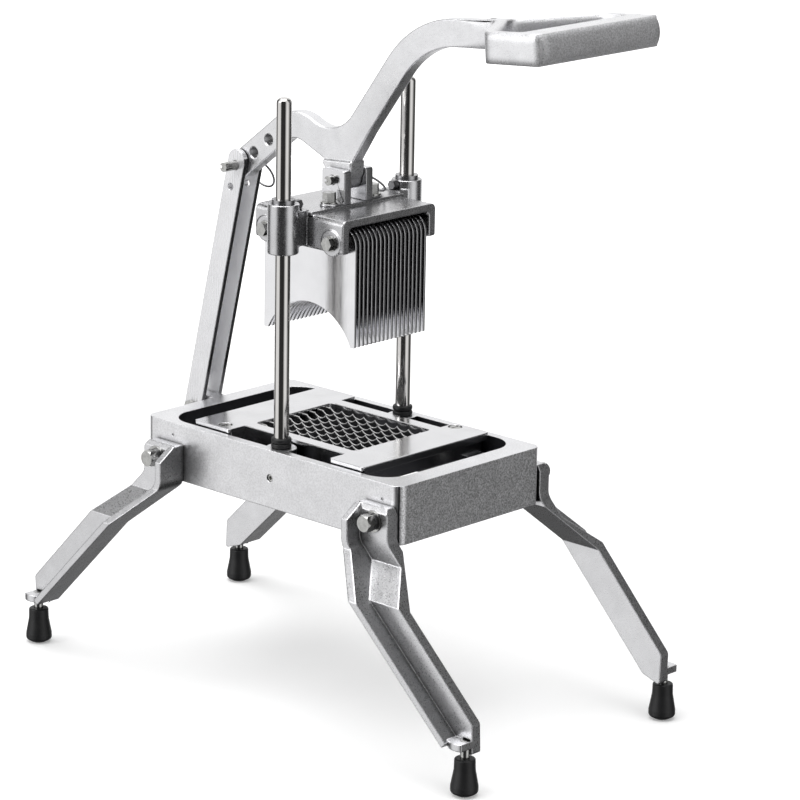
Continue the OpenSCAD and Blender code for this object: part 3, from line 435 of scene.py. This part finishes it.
skin = add(tree, "ShaderNodeBsdfPrincipled", [
    ("Base Color", colour.outputs[MIXED]), ("Roughness", rough.outputs[0]), ("IOR", 1.52),
    ("Normal", relief.outputs[0])])
add(tree, "ShaderNodeOutputMaterial", [("Surface", skin.outputs[0])])
for node in ("foot_front_left", "foot_front_right", "foot_rear_left", "foot_rear_right",
             "rod_bumpers"):
    set_finish(nodes[node], rubber)

# Guide rods and bushings: ground and polished steel rods, which stand in the bosses of the
# base, and the turned steel bushings of the head, which slide on them.
LINE_DEPTH = 0.000004
# Patterns of ground metal: lines of the grinding belt, drawn coarser than the real 0.1 mm so
# that they show, and clouds of uneven polish
GRINDING_LINE = 0.000625
POLISH_CLOUD = 0.02222


def ground_metal(name, grey, roughness, stretch, metallic=1.0):
    """Ground, brushed or buffed metal. To the eye: an even shine, drawn out by fine lines that
    run along the axes where stretch is small."""
    finish, tree = empty_material(name)
    place = add(tree, "ShaderNodeTexCoord").outputs["Object"]
    drawn = add(tree, "ShaderNodeMapping", [("Vector", place), ("Scale", stretch)])
    lines = add(tree, "ShaderNodeTexNoise", [
        ("Vector", drawn.outputs[0]), ("Scale", 1 / GRINDING_LINE), ("Detail", 2.0)])
    clouds = add(tree, "ShaderNodeTexNoise", [
        ("Vector", place), ("Scale", 1 / POLISH_CLOUD), ("Detail", 3.0)])
    tone = add(tree, "ShaderNodeMapRange", [
        ("Value", clouds.outputs["Fac"]), ("From Min", 0.3), ("From Max", 0.7),
        ("To Min", 0.93), ("To Max", 1.0)])
    colour = add(tree, "ShaderNodeMix", [
        (SHARE, 1.0), (FIRST, linear(grey)), (SECOND, tone.outputs[0])],
        data_type="RGBA", blend_type="MULTIPLY")
    rough = add(tree, "ShaderNodeMapRange", [
        ("Value", lines.outputs["Fac"]), ("From Min", 0.3), ("From Max", 0.7),
        ("To Min", roughness * 0.75), ("To Max", roughness * 1.3)])
    relief = add(tree, "ShaderNodeBump", [
        ("Height", lines.outputs["Fac"]), ("Strength", 1.0), ("Distance", LINE_DEPTH)])
    metal = add(tree, "ShaderNodeBsdfPrincipled", [
        ("Base Color", colour.outputs[MIXED]), ("Metallic", metallic),
        ("Roughness", rough.outputs[0]), ("Normal", relief.outputs[0])])
    add(tree, "ShaderNodeOutputMaterial", [("Surface", metal.outputs[0])])
    return finish


# Polished rod mirrors the room in bright and dark stripes along its length
polished_rod = ground_metal("ground_polished_steel", "#D8D6D4", 0.10, (1, 1, 0.02))
for node in ("guide_rod_left", "guide_rod_right"):
    set_finish(nodes[node], polished_rod)
# The bushings are darker and duller, with marks around them
set_finish(nodes["guide_bushings"],
           ground_metal("turned_bushing_steel", "#A8A8AA", 0.25, (0.05, 0.05, 1)))

# Blade frame: aluminium plate with a square window, milled and then buffed on top. It lies on
# the ledges of the base, and two slotted screws hold it down.
BLADE_FRAME_EDGE = 0.0005

# Buffed aluminium is bright and smooth, with faint lines along the plate
milled = ground_metal("milled_buffed_aluminium", "#E4E4E6", 0.19, (0.05, 1, 1))
blade_frame = rounded_copy("blade_frame_plate", "blade_frame", BLADE_FRAME_EDGE, 2)
set_finish(blade_frame, milled)
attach(blade_frame, "base")
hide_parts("blade_frame")

# Blades: thin strips of stainless steel with a scalloped cutting edge, which stand in slots of
# the blade frame, every second one lower than its neighbours. The scallops are ground last.
GROUND_WIDTH = 0.0016

# The strip is dark and smooth. Its freshly ground cutting edge is dull, and where it faces up its
# colour is painted pale as a painted highlight
blade_steel, tree = empty_material("ground_stainless_strip")
place = add(tree, "ShaderNodeTexCoord").outputs["Object"]
drawn = add(tree, "ShaderNodeMapping", [("Vector", place), ("Scale", (0.05, 1, 1))])
lines = add(tree, "ShaderNodeTexNoise", [
    ("Vector", drawn.outputs[0]), ("Scale", 1 / GRINDING_LINE), ("Detail", 2.0)])
relief = add(tree, "ShaderNodeBump", [
    ("Height", lines.outputs["Fac"]), ("Strength", 1.0), ("Distance", LINE_DEPTH)])
near_edge = add(tree, "ShaderNodeBevel", [("Radius", GROUND_WIDTH)], samples=8)
# Painted highlight: the colour turns pale where the rounded edge faces up
facing_up_for_painted_highlight = add(tree, "ShaderNodeSeparateXYZ", [("Vector", near_edge.outputs[0])])
ground = add(tree, "ShaderNodeMapRange", [
    ("Value", facing_up_for_painted_highlight.outputs["Z"]), ("From Min", 0.10), ("From Max", 0.35)])
colour = add(tree, "ShaderNodeMix", [
    (SHARE, ground.outputs[0]), (FIRST, linear("#77777A")), (SECOND, linear("#F4F4F4"))],
    data_type="RGBA")
shine = add(tree, "ShaderNodeMapRange", [
    ("Value", ground.outputs[0]), ("To Min", 1.0), ("To Max", 0.25)])
rough = add(tree, "ShaderNodeMapRange", [
    ("Value", ground.outputs[0]), ("To Min", 0.3), ("To Max", 0.5)])
metal = add(tree, "ShaderNodeBsdfPrincipled", [
    ("Base Color", colour.outputs[MIXED]), ("Metallic", shine.outputs[0]),
    ("Roughness", rough.outputs[0]), ("Normal", relief.outputs[0])])
add(tree, "ShaderNodeOutputMaterial", [("Surface", metal.outputs[0])])
for node in ("upper_blades", "lower_blades"):
    set_finish(nodes[node], blade_steel)

# Head: a channel cast in aluminium with a sleeve for each rod, on which it slides. It is
# polished after casting, so it is smoother than the base.
HEAD_EDGE = 0.0009

head = rounded_copy("head_channel_casting", "head_casting", HEAD_EDGE)
set_finish(head, cast_aluminium("polished_head_aluminium", "#D4D4D6", 0.27, 0.00001,
                                soft_edge=0.0014, speckle=0.9))
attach(head, "head")
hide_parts("head_casting")

# Clevis ears: two angles of aluminium, milled and buffed as the blade frame is. They are
# bolted on the head on both sides of the lever, and carry the pin that it turns on.
EAR_EDGE = 0.0006

ears = rounded_copy("clevis_ear_blocks", "clevis_ears", EAR_EDGE, 2)
set_finish(ears, milled)
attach(ears, "head")
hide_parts("clevis_ears")

# Finger plates: thin aluminium plates with an arch on their lower edge, blanked and buffed.
# They hang side by side on two bolts through the head, and pass between the blades.
PLATE_EDGE = 0.0004

plates = rounded_copy("finger_plates", "pusher_plates", PLATE_EDGE, 2)
# Buffed plate is the brightest metal here, with faint upright lines
set_finish(plates, ground_metal("buffed_plate_aluminium", "#F0F0F2", 0.16, (1, 1, 0.03)))
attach(plates, "head")
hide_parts("pusher_plates")

# Lever: one aluminium casting from the rear eye to the handle loop, ground and polished on a
# belt. It turns on the pin of the clevis, and the link holds its rear eye.
LEVER_EDGE = 0.0012
GRIP_EDGE = 0.010
GRIP_X = (0.12, 0.15)
GRIP_DEPTH = 0.012
GRIP_FACING = 0.3

lever = rounded_copy("lever_casting", "lever", LEVER_EDGE)
set_finish(lever, cast_aluminium("belt_polished_aluminium", "#EEEEF0", 0.30, 0.00001,
                                 speckle=0.93, grip_edge=GRIP_EDGE, grip_x=GRIP_X))
# The front of the grip is blasted for a dry hold, so it is paler and duller than the arm
lever.data.materials.append(cast_aluminium(
    "blasted_grip_aluminium", "#E4E4E6", 0.45, 0.00002, speckle=0.6, metallic=0.72,
    grip_edge=GRIP_EDGE, grip_x=GRIP_X))
grip_front = max(face.center.x for face in lever.data.polygons)
for face in lever.data.polygons:
    if face.center.x > grip_front - GRIP_DEPTH and face.normal.x > GRIP_FACING:
        face.material_index = 1
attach(lever, "lever")
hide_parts("lever")

# Link: a channel bent from stainless sheet and open to the front, brushed along its length on
# the outside. Pins join it to the lever's rear eye and to the lug of the base.
LINK_EDGE = 0.0006
FRONT_EDGE_DEPTH = 0.001
SQUARE_ON = 0.9
LENGTHWISE = (1, 1, 0.02)

link = rounded_copy("link_channel", "link", LINK_EDGE, 2)
# Brushed stainless is soft and pale, because the brush lines spread the light
set_finish(link, ground_metal("brushed_stainless_channel", "#E6E6E8", 0.26, LENGTHWISE, 0.55))
# The cut front edges of the two flanges are polished, and their colour is painted dark as a
# painted reflection of the dim table
link.data.materials.append(
    ground_metal("painted_dark_stainless_edge", "#8E8E90", 0.2, LENGTHWISE))
# The inside gets a pale, dull copy of the rolled sheet, painted light on faces that lie in the
# channel's shade
link.data.materials.append(
    ground_metal("painted_light_stainless_inside", "#F6F6F8", 0.5, LENGTHWISE, 0.1))
forward = [face for face in link.data.polygons if face.normal.x > SQUARE_ON]
lean = max(forward, key=lambda face: face.area).normal.copy()
front = max(lean.dot(face.center) for face in forward)
for face in link.data.polygons:
    faces_front = face.normal.x > SQUARE_ON
    faces_inward = abs(face.normal.y) > SQUARE_ON and face.normal.y * face.center.y < 0
    # The front edges take the painted dark reflection
    if faces_front and lean.dot(face.center) > front - FRONT_EDGE_DEPTH:
        face.material_index = 1
    # Painted light: the inner faces and the other front faces get the pale copy
    elif faces_front or faces_inward:
        face.material_index = 2
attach(link, "link")
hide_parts("link")
